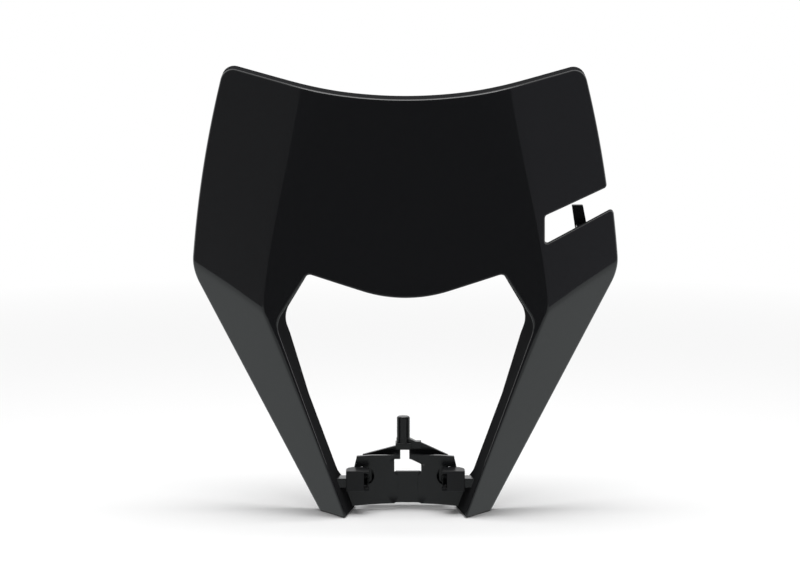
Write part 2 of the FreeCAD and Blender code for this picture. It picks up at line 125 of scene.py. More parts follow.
def half_section(z):
    """Control points (x, depth) from the centre to past the edge: three on the face's parabola, one
    at the crease and three out along the wing's angle."""
    centre = centre_depth(z)
    x_crease = crease_half_width(z)
    past = np.maximum(0.0, height_share(z) - crease_fade_start)
    spread = crease_round + crease_fade_round * past ** 2
    angle = np.radians(wing_angle_low + (wing_angle_high - wing_angle_low) * height_share(z))
    along = np.stack([np.cos(angle), np.sin(angle)], -1)
    outward = np.stack([np.sin(angle), -np.cos(angle)], -1)
    reach = (skin_half_width - x_crease) / np.cos(angle)

    def on_face(x):
        return np.stack([x, centre + x * x / (2 * face_plan_radius)], -1)

    crease = on_face(x_crease)
    crown_at = spread + (reach - spread) * wing_crown_place
    return np.stack([
        on_face(0.0 * z),
        on_face((x_crease - spread) / 2),
        on_face(x_crease - spread),
        crease,
        crease + along * spread[:, None],
        crease + along * crown_at[:, None] + outward * wing_crown,
        crease + along * reach[:, None],
    ], 1)


def even_knots(spans):
    """Knots of a clamped cubic spline with this many even spans."""
    return np.concatenate([np.zeros(3), np.arange(spans + 1), np.full(3, spans)]).astype(float)


def spline_weights(count, t):
    """Weights of each control point of a clamped cubic spline with even knots, at places t from 0
    to 1, by the Cox-de Boor rule."""
    spans = count - 3
    knots = even_knots(spans)
    last_place = 1 - 1e-9
    place = np.clip(t, 0, last_place)[:, None] * spans
    weights = ((knots[:-1] <= place) & (place < knots[1:])).astype(float)
    for degree in (1, 2, 3):
        first, last = knots[:-degree - 1], knots[degree + 1:]
        rise = knots[degree:-1] - first
        fall = last - knots[1:-degree]
        up = np.divide(place - first, rise, where=rise > 0, out=np.zeros((len(t), len(rise))))
        down = np.divide(last - place, fall, where=fall > 0, out=np.zeros((len(t), len(fall))))
        weights = up * weights[:, :-1] + down * weights[:, 1:]
    return weights


def skin_controls(inset):
    """Control points of the whole skin, row by row up the cowl, moved towards the back by the inset
    with their sides kept parallel."""
    spans = skin_rows - 3
    knots = even_knots(spans)
    share = (knots[1:-3] + knots[2:-2] + knots[3:-1]) / 3 / spans
    right = half_section(skin_bottom + (skin_top - skin_bottom) * share)
    points = np.concatenate([right[:, :0:-1] * (-1, 1), right], 1)
    sides = np.diff(points, axis=1)
    sides /= np.linalg.norm(sides, axis=2, keepdims=True)
    normal = np.stack([-sides[..., 1], sides[..., 0]], -1)
    first = np.concatenate([normal[:, :1], normal], 1)
    second = np.concatenate([normal, normal[:, -1:]], 1)
    turn = 1 + (first * second).sum(-1, keepdims=True)
    return points + (first + second) * inset / turn


def skin_depth(x, z, inset):
    """Depth of the skin at (x, z): the place across the spline where its x is the wanted one is
    found by Newton's steps, and its depth is read there."""
    controls = skin_controls(inset)
    rows = spline_weights(skin_rows, (z - skin_bottom) / (skin_top - skin_bottom))
    across = np.einsum("nr,rcd->ncd", rows, controls)
    count = controls.shape[1]
    place = 0.5 + 0.5 * x / skin_half_width
    step = 1e-4
    place_low, place_high = 0.01, 0.99

    def at(places, axis):
        return np.einsum("nc,nc->n", spline_weights(count, places), across[..., axis])

    for _ in range(newton_steps):
        here, ahead = at(place, 0), at(place + step, 0)
        place = np.clip(place + (x - here) * step / (ahead - here), place_low, place_high)
    return at(place, 1)


def leg_depth(x, z, inset):
    """Depth of the flat outer side of the right leg: the plane through its knee, tip and foot, moved
    in by the inset."""
    knee_depth = centre_depth(knee_height) + knee_half_width ** 2 / (2 * face_plan_radius)
    lean = foot_depth / (foot_half_width - tip_half_width)
    climb = (knee_depth - lean * (knee_half_width - tip_half_width)) / knee_height
    return lean * (x - tip_half_width) + climb * z + inset * math.sqrt(1 + lean ** 2 + climb ** 2)


def front_depth(x, z, inset=0.0):
    """Depth of the cowl's front: the deepest of the skin and the two leg sides, with the fold
    between them rounded by a smooth maximum."""
    shape = np.shape(x)
    x = np.ravel(x).astype(float)
    z = np.ravel(z).astype(float)
    depth = skin_depth(x, z, inset)
    side = np.maximum(leg_depth(x, z, inset), leg_depth(-x, z, inset))
    gap = depth - side
    return ((depth + side + np.sqrt(gap ** 2 + fold_round ** 2)) / 2).reshape(shape)


# Edge of the shell.
# One closed line: up the right side, in and out of the hose notch, over the top, down the left
# side, and back along the lamp opening between the legs. It can be drawn further in, and its
# opening and top edge lean with depth as a mould's walls do.
bulge_height = 132.0
bulge_radius = 85.0
bulge_slope = 0.31
leg_tail_width = 3.74
leg_draft = 0.185
leg_slope = (knee_half_width - leg_tail_width - tip_half_width) / knee_height
corner_half_width = 57.2
corner_height = knee_height + 21.2
corner_slope = 0.638
corner_draft = 0.11
opening_knee_round = 14.0
opening_corner_round = 3.5
notch_end_x = 81.0
notch_upper_height = 178.4
notch_upper_slope = 0.314
notch_lower_height = 161.3
notch_lower_slope = 0.373
notch_end_round = 1.8
notch_mouth_round = 2.2
least_round = 0.5
meeting_rounds = 30
run_points = 60
arc_points = 25
top_points = 300


def side_half_width(z):
    """Half width of the side edge above the widest place: a circle through three places."""
    x1, z1 = wing_half_width, widest_height
    a = np.array([[side_mid[0] - x1, side_mid[1] - z1], [side_top[0] - x1, side_top[1] - z1]])
    centre = np.linalg.solve(a, (a ** 2).sum(1) / 2) + (x1, z1)
    radius = math.hypot(x1 - centre[0], z1 - centre[1])
    return centre[0] + np.sqrt(radius ** 2 - (z - centre[1]) ** 2)


def top_height(x, depth):
    """Height of the top edge: an arc, then a straight rise to each side, leaning up with depth."""
    join = top_edge_radius * math.sin(math.atan(top_edge_slope))
    inner = np.minimum(np.abs(x), join)
    arc = top_edge_radius - np.sqrt(top_edge_radius ** 2 - inner ** 2)
    return top_edge_height + arc + top_edge_slope * (np.abs(x) - inner) + top_rim_draft * depth


def meet_side(height_at, inset):
    """Where a line height = f(x) meets the side edge, by going back and forth between the two."""
    x = wing_half_width - inset
    for _ in range(meeting_rounds):
        x = side_half_width(height_at(x)) - inset
    return x, height_at(x)


def even(steps):
    """Shares from 0 to 1 in even steps."""
    return np.linspace(0, 1, steps + 1)


def lengths_along(line):
    """Length of a line up to each of its points."""
    return np.concatenate([[0], np.cumsum(np.linalg.norm(np.diff(line, axis=0), axis=1))])


def straight(a, b, count=run_points):
    """Points from a to b."""
    return np.linspace(a, b, count)


def side_run(z_from, z_to, inset):
    """Points along the side edge from one height to another."""
    z = np.linspace(z_from, z_to, run_points)
    return np.stack([side_half_width(z) - inset, z], -1)


def bridged(a, corner, b, t, weight):
    """Points at places t from 0 to 1 on the rational quadratic from a to b about the corner."""
    below = (1 - t) ** 2 + 2 * weight * t * (1 - t) + t ** 2
    return ((1 - t) ** 2 * a + 2 * weight * t * (1 - t) * corner + t ** 2 * b) / below


def rounded(runs, radii):
    """Joins the runs into one closed line, each corner cut back by radius times the tangent of half
    the turn and bridged by an arc, a rational quadratic with the corner as its middle point."""
    cuts, weights = [], []
    for run, after, radius in zip(runs, runs[1:] + runs[:1], radii):
        a, b = run[-1] - run[-2], after[1] - after[0]
        turn = (a / np.linalg.norm(a)) @ (b / np.linalg.norm(b))
        half = math.acos(np.clip(turn, -1, 1)) / 2
        cuts.append(radius * math.tan(half))
        weights.append(math.cos(half))
    trimmed = []
    for k, run in enumerate(runs):
        length = lengths_along(run)
        places = np.linspace(cuts[k - 1], length[-1] - cuts[k], len(run))
        trimmed.append(np.stack([np.interp(places, length, run[:, c]) for c in (0, 1)], -1))
    t = np.linspace(0, 1, arc_points)[1:-1, None]
    line = []
    for k, run in enumerate(trimmed):
        after = trimmed[(k + 1) % len(runs)][0]
        line += [run, bridged(run[-1], runs[k][-1], after, t, weights[k])]
    return np.concatenate(line)


def edge_line(inset, depth):
    """The closed edge line drawn further in by the inset, as it runs at a depth."""
    grow_leg = inset * math.hypot(1, leg_slope)
    grow_corner = inset * math.hypot(1, corner_slope)
    leg_base = tip_half_width - leg_draft * depth + grow_leg
    corner_base = corner_half_width + corner_slope * corner_height
    corner_base += grow_corner - corner_draft * depth
    knee_z = (corner_base - leg_base) / (leg_slope + corner_slope)
    knee = (leg_base + leg_slope * knee_z, knee_z)
    join = bulge_radius * math.sin(math.atan(bulge_slope))
    sag = bulge_radius - math.sqrt(bulge_radius ** 2 - join ** 2)
    bulge_base = bulge_height + sag - bulge_slope * join + inset
    corner_x = corner_base - corner_slope * bulge_base
    corner_x /= 1 + corner_slope * bulge_slope
    corner = (corner_x, bulge_base + bulge_slope * corner_x)
    inner_foot = (leg_base + leg_slope * inset, inset)

    flare = (wing_half_width - foot_half_width) / widest_height
    outer_foot = (foot_half_width - inset + flare * inset, inset)
    widest = (wing_half_width - inset, widest_height)
    lower = notch_lower_height - inset * math.hypot(1, notch_lower_slope)
    upper = notch_upper_height + inset * math.hypot(1, notch_upper_slope)
    end = notch_end_x - inset
    right_inset = inset + right_upper_inset
    mouth_low = meet_side(lambda x: lower + notch_lower_slope * (x - notch_end_x), inset)
    mouth_high = meet_side(lambda x: upper + notch_upper_slope * (x - notch_end_x), right_inset)
    end_low = (end, lower - notch_lower_slope * inset)
    end_high = (end, upper - notch_upper_slope * inset)
    top_right = meet_side(lambda x: top_height(x, depth) - inset, right_inset)
    top_left = meet_side(lambda x: top_height(x, depth) - inset, inset)

    top_x = np.linspace(top_right[0], -top_left[0], top_points)
    top = np.stack([top_x, top_height(top_x, depth) - inset], -1)
    bulge_x = np.linspace(-corner[0], corner[0], top_points)
    bulge_in = np.minimum(np.abs(bulge_x), join)
    bulge_z = bulge_base + bulge_slope * join - sag
    bulge_z = bulge_z + bulge_radius - np.sqrt(bulge_radius ** 2 - bulge_in ** 2)
    bulge = np.stack([bulge_x, bulge_z + bulge_slope * (np.abs(bulge_x) - bulge_in)], -1)
    flip = np.array([-1, 1])
    runs = [
        straight(outer_foot, widest),
        side_run(widest_height, mouth_low[1], inset),
        straight(mouth_low, end_low),
        straight(end_low, end_high),
        straight(end_high, mouth_high),
        side_run(mouth_high[1], top_right[1], right_inset),
        top,
        side_run(top_left[1], widest_height, inset) * flip,
        straight(widest, outer_foot) * flip,
        straight(outer_foot, inner_foot, run_points) * flip,
        straight(inner_foot, knee) * flip,
        straight(knee, corner) * flip,
        bulge,
        straight(corner, knee),
        straight(knee, inner_foot),
        straight(inner_foot, outer_foot),
    ]
    foot_round = max(foot_corner_round - inset, least_round)
    mouth_round = max(notch_mouth_round - inset, least_round)
    end_round = notch_end_round + inset
    top_round = top_corner_round - inset
    knee_round = opening_knee_round + inset
    corner_round = opening_corner_round + inset
    radii = [
        widest_round, mouth_round, end_round, end_round, mouth_round, top_round, top_round,
        widest_round, foot_round, foot_round, knee_round, corner_round, corner_round, knee_round,
        foot_round, foot_round,
    ]
    return rounded(runs, radii)


# Grid of the shell.
# The edge is cut into stretches between key places, such as the feet, the folds and the notch. Each
# stretch gets a number of steps, so that neighbouring patches share their points.
leg_steps = 72
low_steps = 24
end_steps = 12
high_steps = 38
near_steps = 7
wing_steps = 20
bulge_steps = 92
tail_steps = 5
wing_rows = low_steps + end_steps + high_steps
across_leg = near_steps + wing_steps
corner_crowding = 8.0
fold_near_share = 0.12
ridge_clearance = 0.05
wall_rounds = 5
notch_line_top = 72.0
crease_notch_heights = (160.0, 177.0)
draft_reference = 50.0

arc_inner = arc_points - 2
run_lengths = [run_points] * 6 + [top_points] + [run_points] * 5 + [top_points] + [run_points] * 3
run_starts = np.concatenate([[0], np.cumsum([n + arc_inner for n in run_lengths])])
line_count = int(run_starts[-1])
plain_line = edge_line(0.0, 0.0)


def corner_place(run):
    """Place on the edge line of the middle of the corner that ends a run."""
    return float(run_starts[run] + run_lengths[run] + arc_inner // 2)


def least_place(score, low, high):
    """Place on the edge line, between two places, where the score is least."""
    return float(low + np.argmin(score[low:high]))


def nearest_place(score, first_run, last_run):
    """The same within these runs and their corners."""
    return least_place(score, run_starts[first_run], run_starts[last_run + 1])


line_x, line_z = plain_line.T
line_skin = skin_depth(line_x, line_z, 0.0)
line_leg = np.maximum(leg_depth(line_x, line_z, 0.0), leg_depth(-line_x, line_z, 0.0))
fold_score = np.abs(line_skin - line_leg)
crease_score = np.abs(np.abs(line_x) / crease_half_width(line_z) - 1)
notch_line_score = np.abs(np.abs(line_x) - notch_line_top)
opening_score = -np.abs(line_x) / crease_half_width(line_z)

foot_out_right = corner_place(15) - line_count
top_start, top_end = run_starts[6:8].tolist()
top_middle = top_start + top_points // 2

keys = [
    foot_out_right,
    nearest_place(fold_score, 0, 0),
    *(corner_place(run) for run in range(1, 6)),
    least_place(notch_line_score, top_start, top_middle),
    least_place(crease_score, top_start, top_middle),
    least_place(crease_score, top_middle, top_end),
    least_place(notch_line_score, top_middle, top_end),
    corner_place(6),
    nearest_place(fold_score, 7, 8),
    corner_place(8), corner_place(9),
    nearest_place(opening_score, 10, 11),
    nearest_place(opening_score, 12, 14),
    corner_place(14),
    foot_out_right + line_count,
]
steps = [
    leg_steps, low_steps, wing_steps, end_steps, wing_steps, high_steps,
    wing_steps, near_steps, bulge_steps + 2 * tail_steps, near_steps, wing_steps,
    wing_rows, leg_steps, across_leg, leg_steps, bulge_steps, leg_steps, across_leg,
]
(LEG_R, LOW_R, NOTCH_IN, NOTCH_END, NOTCH_OUT, HIGH_R, TOP_OUT_R, TOP_IN_R, TOP_FACE,
 TOP_IN_L, TOP_OUT_L, WING_L, LEG_L, FOOT_L, INNER_L, BULGE, INNER_R, FOOT_R) = range(len(steps))


def line_at(line, places):
    """Points of a closed line at fractional places."""
    closed = np.concatenate([line, line[:1]])
    numbers = np.arange(line_count + 1)
    return np.stack([np.interp(places % line_count, numbers, closed[:, c]) for c in (0, 1)], -1)


def spread_places(start, end, count):
    """Places from start to end in even steps of length plus a share for every turn, so that corners
    get more."""
    places = np.linspace(start, end, 4 * int(end - start) + 2)
    points = line_at(plain_line, places)
    sides = np.diff(points, axis=0)
    lengths = np.linalg.norm(sides, axis=1)
    headings = np.unwrap(np.arctan2(sides[:, 1], sides[:, 0]))
    turning = np.abs(np.diff(headings, prepend=headings[0]))
    load = np.concatenate([[0], np.cumsum(lengths + corner_crowding * turning)])
    return np.interp(np.linspace(0, load[-1], count + 1), load, places)


stretches = [spread_places(keys[k], keys[k + 1], n) for k, n in enumerate(steps)]


def across_share(points):
    """Where points lie between the left crease, -1, and the right one, 1."""
    return points[:, 0] / crease_half_width(points[:, 1])


bulge_points = line_at(plain_line, stretches[BULGE])
left_ramp = np.linspace(-1, across_share(bulge_points[:1])[0], tail_steps + 1)[:-1]
right_ramp = np.linspace(across_share(bulge_points[-1:])[0], 1, tail_steps + 1)[1:]
face_share = np.concatenate([left_ramp, across_share(bulge_points), right_ramp])
top_places = np.linspace(keys[TOP_FACE], keys[TOP_FACE + 1], 8 * top_points)
top_share = across_share(line_at(plain_line, top_places))
stretches[TOP_FACE] = np.interp(-face_share[::-1], -top_share, top_places)
edge_places = np.concatenate([s[:-1] for s in stretches])
stretch_starts = np.concatenate([[0], np.cumsum(steps)])
edge_count = len(edge_places)


class Edge:
    """The sampled edge line drawn further in by an inset, on the front or a wall behind it."""

    def __init__(self, inset, behind):
        self.shallow = line_at(edge_line(inset, 0.0), edge_places)
        self.deep = line_at(edge_line(inset, draft_reference), edge_places)
        self.depth = np.zeros(edge_count)
        for _ in range(wall_rounds):
            points = self.at(self.depth)
            self.depth = front_depth(points[:, 0], points[:, 1], behind)
        self.points = self.at(self.depth)

    def at(self, depth):
        """Points (x, z) of the edge at a depth for each."""
        share = np.reshape(depth / draft_reference, (-1, 1))
        return self.shallow + (self.deep - self.shallow) * share

    def stretch(self, k):
        """Points (x, z) of one stretch of the edge, both ends included."""
        places = np.arange(stretch_starts[k], stretch_starts[k + 1] + 1) % edge_count
        return self.points[places]


def chord_share(a, b):
    """How far along two matched lines each step lies, from 0 to 1, as the mean of the two."""
    shares = []
    for line in (a, b):
        length = lengths_along(line)
        shares.append(length / length[-1] if length[-1] > 0 else np.linspace(0, 1, len(line)))
    return (shares[0] + shares[1]) / 2


def patch(side_a, side_b, end_a, end_b):
    """Coons patch: the sides ruled together plus the ends ruled together, less the bilinear patch
    of the corners."""
    t = chord_share(side_a, side_b)[:, None, None]
    s = chord_share(end_a, end_b)[None, :, None]
    ruled_sides = side_a[:, None] * (1 - s) + side_b[:, None] * s
    ruled_ends = end_a[None] * (1 - t) + end_b[None] * t
    first, last = ((1 - s) * end[0] + s * end[-1] for end in (end_a, end_b))
    return ruled_sides + ruled_ends - ((1 - t) * first + t * last)


def between(a, b, shares):
    """Points on the way from a to b at these shares of it."""
    return a + (b - a) * np.reshape(shares, (-1, 1))


def shell_patches(edge):
    """The shell's front or back as patches in (x, z), each with whether it runs to the left."""
    patches, creases = [], {}
    flip = np.array([-1.0, 1.0])
    stretch = edge.stretch

    def add(side_a, side_b, end_a, end_b, turn=1.0, left=False):
        patches.append((patch(side_a, side_b, end_a, end_b) * turn, left))

    fold_share = np.concatenate([
        np.linspace(0, fold_near_share, near_steps + 1),
        np.linspace(fold_near_share, 1, wing_steps + 1)[1:],
    ])
    for side in (1, -1):
        turn = flip if side < 0 else np.ones(2)
        inner = stretch(INNER_R)[::-1] if side > 0 else stretch(INNER_L) * flip
        outer = stretch(LEG_R) if side > 0 else stretch(LEG_L)[::-1] * flip
        foot = stretch(FOOT_R) if side > 0 else stretch(FOOT_L)[::-1] * flip
        top = np.concatenate([stretch(TOP_OUT_R)[:-1], stretch(TOP_IN_R)])[::-1]
        if side < 0:
            top = np.concatenate([stretch(TOP_IN_L)[:-1], stretch(TOP_OUT_L)]) * flip
        knee = np.array([knee_half_width, knee_height])
        ridge_z = inner[:, 1] + (knee_height - inner[-1, 1]) * np.linspace(0, 1, len(inner)) ** 2
        ridge_x = tip_half_width + (knee_half_width - tip_half_width) * ridge_z / knee_height
        beside = np.interp(ridge_z, inner[:, 1], inner[:, 0])
        ridge = np.stack([np.maximum(ridge_x, beside + ridge_clearance), ridge_z], -1)
        ridge[0] = inner[0]
        ridge[-1] = knee
        fold = between(knee, outer[-1], fold_share)
        tail_end = between(inner[-1], knee, even(tail_steps))
        tail_start = np.repeat(inner[:1], tail_steps + 1, 0)
        add(inner, ridge, tail_start, tail_end, turn, side < 0)
        add(ridge, outer, foot, fold, turn, side < 0)

        lift = np.concatenate([
            np.linspace(knee_height, crease_notch_heights[0], low_steps + 1),
            np.linspace(*crease_notch_heights, end_steps + 1)[1:],
            np.linspace(crease_notch_heights[1], top[0, 1], high_steps + 1)[1:],
        ])
        drift = top[0, 0] - crease_half_width(top[0, 1])
        crease_x = crease_half_width(lift) + drift * even(wing_rows)
        crease = np.stack([crease_x, lift], -1)
        creases[side] = crease * turn
        if side > 0:
            low_end = stretch(NOTCH_IN)[::-1]
            high_end = stretch(NOTCH_OUT)
            k, low, high = near_steps, low_steps, low_steps + end_steps
            near = np.concatenate([
                between(fold[k], low_end[0], even(low))[:-1],
                stretch(NOTCH_END),
                between(high_end[0], top[k], even(high_steps))[1:],
            ])
            add(crease, near, fold[:k + 1], top[:k + 1])
            add(near[:low + 1], stretch(LOW_R), fold[k:], low_end)
            add(near[high:], stretch(HIGH_R), high_end, top[k:])
        else:
            add(crease, stretch(WING_L)[::-1] * flip, fold, top, flip, True)

    bulge = stretch(BULGE)
    left = between(creases[-1][0], bulge[0], even(tail_steps))[:-1]
    right = between(bulge[-1], creases[1][0], even(tail_steps))[1:]
    bottom = np.concatenate([left, bulge, right])
    add(creases[-1], creases[1], bottom, stretch(TOP_FACE)[::-1])
    return patches


# Rims.
# Behind its edge the shell turns back: deep beside the legs, where the walls carry the lamp,
# deeper along the top and shallow at the sides, the notch and the middle of the opening.
edge_round = 1.1
rim_end_round = 0.5
inner_fillet = 0.8
side_rim_depth = 6.0
top_rim_depth = 14.0
bulge_rim_depth = 8.0
notch_rim_depth = 7.0
rim_step = 180.0
bulge_low = 120.0
foot_rim_shares = (0, 0.2, 0.8, 1)
foot_rim_lift = 0.8
turn_rows = 5
side_rows = 4
lip_rows = 3
fillet_rows = 4
leg_reach_heights = (-5.0, 14.0, 25.0, 70.0, 104.0, 118.0, 132.0, 150.0)
leg_reach_depths = (34.0, 31.0, 20.5, 20.0, 28.0, 28.0, 18.0, 3.0)


def rim_reach(points, depth):
    """Depth at which the rim ends, for every point of the edge."""
    x, z = points.T
    side = np.minimum(depth + top_rim_depth, np.maximum(depth + side_rim_depth, z - rim_step))
    reach = side.copy()
    inner_wall = np.interp(z, leg_reach_heights, leg_reach_depths)
    inner_wall = np.maximum(inner_wall, depth + bulge_rim_depth)
    place = np.arange(edge_count)

    def within(first, last):
        return (place >= stretch_starts[first]) & (place <= stretch_starts[last + 1])

    opening = within(INNER_L, INNER_R)
    reach[opening] = inner_wall[opening]
    middle = opening & (np.abs(x) < corner_half_width) & (z > bulge_low)
    reach[middle] = (depth + bulge_rim_depth)[middle]
    notch = within(NOTCH_IN, NOTCH_OUT)
    reach[notch] = (depth + notch_rim_depth)[notch]
    for first in (FOOT_L, FOOT_R):
        foot = within(first, first)
        across = np.abs(x[foot])
        share = (across - across.min()) / (across.max() - across.min())
        ends = (leg_reach_depths[0] - foot_rim_lift, foot_depth, foot_depth, foot_depth + side_rim_depth)
        reach[foot] = np.interp(share, foot_rim_shares, ends)
    return reach


def bent(a, corner, b, count):
    """Rows of points round a quarter's bend from a to b about the corner."""
    return bridged(a, corner, b, even(count)[:, None, None], math.cos(math.pi / 4))


def placed(edge, depth):
    """Points (x, depth, z) of an edge line at a depth for each."""
    points = edge.at(depth)
    return np.stack([points[:, 0], depth, points[:, 1]], -1)


face_edge = Edge(edge_round, 0.0)
true_edge = Edge(0.0, 0.0)
lip_edge = Edge(rim_end_round, 0.0)
lip_back_edge = Edge(rim_wall - rim_end_round, wall)
wall_edge = Edge(rim_wall, wall)
back_edge = Edge(rim_wall + inner_fillet, wall)
reach = rim_reach(true_edge.points, true_edge.depth)
rim_front = placed(true_edge, true_edge.depth + edge_round)
rim_back = placed(wall_edge, wall_edge.depth + inner_fillet)
lip_outside = placed(true_edge, reach - rim_end_round)
lip_inside = placed(wall_edge, reach - rim_end_round)
face_corner = placed(true_edge, true_edge.depth)
back_corner = placed(wall_edge, wall_edge.depth)
rim_rows = [
    bent(placed(face_edge, face_edge.depth), face_corner, rim_front, turn_rows),
    np.linspace(rim_front, lip_outside, side_rows)[1:],
    bent(lip_outside, placed(true_edge, reach), placed(lip_edge, reach), lip_rows)[1:],
    bent(placed(lip_back_edge, reach), placed(wall_edge, reach), lip_inside, lip_rows),
    np.linspace(lip_inside, rim_back, side_rows)[1:],
    bent(rim_back, back_corner, placed(back_edge, back_edge.depth), fillet_rows)[1:],
]
rim = np.concatenate(rim_rows)
rim = np.concatenate([rim, rim[:, :1]], 1)

# Making of the pieces.
# Points closer together than the weld distance, in metres, are one point of the moulding. Edges
# that turn by more than the bevel angle are rounded.
weld_distance = 2e-5
bevel_segments = 3
bevel_angle = math.radians(35)


def to_frame(points):
    """From millimetres with the leg tips at depth 0 to the frame's metres."""
    return (points - (0.0, tip_depth, 0.0)) / 1000.0


def lifted(flat, behind):
    """Points (x, depth, z) of a patch in (x, z) on the front or a wall behind it."""
    x, z = flat[..., 0], flat[..., 1]
    return np.stack([x, front_depth(x.ravel(), z.ravel(), behind).reshape(x.shape), z], -1)


def mesh_of(name, grids, bevel=0.0, thickness=0.0):
    """One piece of the cowl from grids of points, each with whether it is turned and how dull."""
    points, faces, satin, start = [], [], [], 0
    for grid, turned, matt in grids:
        rows, columns = grid.shape[:2]
        index = start + np.arange(rows * columns).reshape(rows, columns)
        quads = np.stack([index[:-1, :-1], index[:-1, 1:], index[1:, 1:], index[1:, :-1]], -1)
        quads = quads.reshape(-1, 4)
        points.append(to_frame(grid.reshape(-1, 3)))
        faces += (quads[:, ::-1] if turned else quads).tolist()
        satin += [matt] * len(quads)
        start += rows * columns
    return piece_of(name, np.concatenate(points), faces, satin, bevel, thickness)


def piece_of(name, points, faces, satin, bevel, thickness):
    """A piece of the cowl: smooth, rounded by a bevel, and thick where it is a sheet."""
    mesh = bpy.data.meshes.new(name)
    mesh.from_pydata(points.tolist(), [], faces)
    mesh.attributes.new("satin", "FLOAT", "FACE").data.foreach_set("value", satin)
    mesh.materials.append(gloss_black)
    soup = bmesh.new()
    soup.from_mesh(mesh)
    bmesh.ops.remove_doubles(soup, verts=soup.verts, dist=weld_distance)
    bmesh.ops.dissolve_degenerate(soup, edges=soup.edges, dist=weld_distance / 2)
    soup.to_mesh(mesh)
    soup.free()
    mesh.polygons.foreach_set("use_smooth", [True] * len(mesh.polygons))
    piece = bpy.data.objects.new(name, mesh)
    link(piece)
    if thickness:
        solidify = piece.modifiers.new("thickness", "SOLIDIFY")
        solidify.thickness = thickness / 1000
        solidify.offset = -1
    if bevel:
        rounding = piece.modifiers.new("rounding", "BEVEL")
        rounding.width = bevel / 1000
        rounding.segments = bevel_segments
        rounding.limit_method = "ANGLE"
        rounding.angle_limit = bevel_angle
    piece.modifiers.new("normals", "WEIGHTED_NORMAL").keep_sharp = True
    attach(piece, "root")
    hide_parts("cowl")
    return piece


# Black gloss.
# The whole cowl is one colour of polished plastic. The front is as smooth as glass; the backs and
# the rims come duller out of the mould, with a faint grain.
matt_most = 0.97
matt_power = 2.0


def added(nodes, kind, values=None, **properties):
    """A new node with these values in its inputs and these properties."""
    node = nodes.new(kind)
    for name, value in (values or {}).items():
        node.inputs[name].default_value = value
    for name, value in properties.items():
        setattr(node, name, value)
    return node


def wire(tree, *pairs):
    """Links each pair's source to its target."""
    for source, target in pairs:
        tree.links.new(source, target)


gloss_black = bpy.data.materials.new("gloss_black")
gloss_black.use_nodes = True
nodes = gloss_black.node_tree.nodes
plastic = nodes["Principled BSDF"]
plastic.inputs["Base Color"].default_value = (0.0075, 0.0078, 0.0085, 1)
plastic.inputs["IOR"].default_value = 1.5
satin = added(nodes, "ShaderNodeAttribute", attribute_name="satin").outputs["Fac"]
place = added(nodes, "ShaderNodeTexCoord").outputs["Object"]
grain = added(nodes, "ShaderNodeTexNoise", {"Scale": 900.0, "Detail": 3.0})
roughness = added(nodes, "ShaderNodeMapRange", {"To Min": 0.07, "To Max": 0.45})
bump = added(nodes, "ShaderNodeBump", {"Distance": 0.00002})
normal = bump.outputs["Normal"]
shine = added(nodes, "ShaderNodeMapRange", {"To Min": 0.5, "To Max": 0.2})
matt = added(nodes, "ShaderNodeBsdfDiffuse", {"Color": (0.015, 0.0152, 0.016, 1)})
matt_share = added(nodes, "ShaderNodeMath", {1: matt_power}, operation="POWER")
matt_mix = added(nodes, "ShaderNodeMixShader")
matt_scale = added(nodes, "ShaderNodeMath", {1: matt_most}, operation="MULTIPLY")
wire(
    gloss_black.node_tree,
    (place, grain.inputs["Vector"]),
    (grain.outputs["Fac"], bump.inputs["Height"]),
    (satin, bump.inputs["Strength"]),
    (satin, roughness.inputs["Value"]),
    (satin, shine.inputs["Value"]),
    (satin, matt_share.inputs[0]),
    (matt_share.outputs[0], matt_scale.inputs[0]),
    (matt_scale.outputs[0], matt_mix.inputs[0]),
    (roughness.outputs["Result"], plastic.inputs["Roughness"]),
    (shine.outputs["Result"], plastic.inputs["Specular IOR Level"]),
    (normal, plastic.inputs["Normal"]),
    (normal, matt.inputs["Normal"]),
    (plastic.outputs[0], matt_mix.inputs[1]),
    (matt.outputs[0], matt_mix.inputs[2]),
    (matt_mix.outputs[0], nodes["Material Output"].inputs["Surface"]),
)

front_grids = [(lifted(flat, 0.0), turned, 0.0) for flat, turned in shell_patches(face_edge)]
back_grids = [(lifted(flat, wall), not turned, 1.0) for flat, turned in shell_patches(back_edge)]
rim_grids = [(rim[:turn_rows + 1], True, 0.0), (rim[turn_rows:], True, 1.0)]
mesh_of("shell", front_grids + back_grids + rim_grids)


# Bridge between the feet.
# A front plate joined to both legs at its foot, with an arched bottom edge and a window whose slot
# opens upwards. Behind it stand a second wall with sloping shoulders and two ribs.
bridge_satin = 0.3
web_depth = 24.5
web_sag = 2.0
web_bow = 110.0
web_wall = 2.5
web_right = ((2.2, None), (18.0, None), (24.6, 30.6), (32.4, 28.8))
web_flat_half_width = 20.2
web_top_height = 33.0
web_bottom_mid_height = 4.0
rear_depth = 35.0
rear_wall = 2.6
rear_half_width = 25.5
rear_bottom = 6.0
rear_top = ((-25.5, 31.2), (-5.9, 36.4), (9.45, 38.4), (25.5, 31.0))
window_columns = (-6.6, -3.0, 2.3, 3.1, 9.4)
window_floor = 22.8
window_ceiling = ((3.1, 30.6), (9.4, 27.6))
window_slot_top = 36.4
window_drop = 0.22
cup_hole_half_width = 24.4
cup_hole_height = 20.6
cup_hole_radius = 5.9
plate_rows = 7
ring_rows = 6
window_step = 1.2
thinnest_band = 0.1
plate_bevel = 0.5
wall_bevel = 0.4
turned_bevel = 0.35
turned_sides = 64


def leg_inside(depth, z):
    """Half the distance between the legs' inner walls at a depth and a height."""
    return tip_half_width - leg_draft * depth + leg_slope * z


def web_side(z):
    """Half width of the bridge's front plate at a height."""
    heights = [h for h, _ in web_right]
    widths = [w if w else leg_inside(web_depth, h) + rim_wall / 2 for h, w in web_right]
    return np.interp(z, heights, widths)


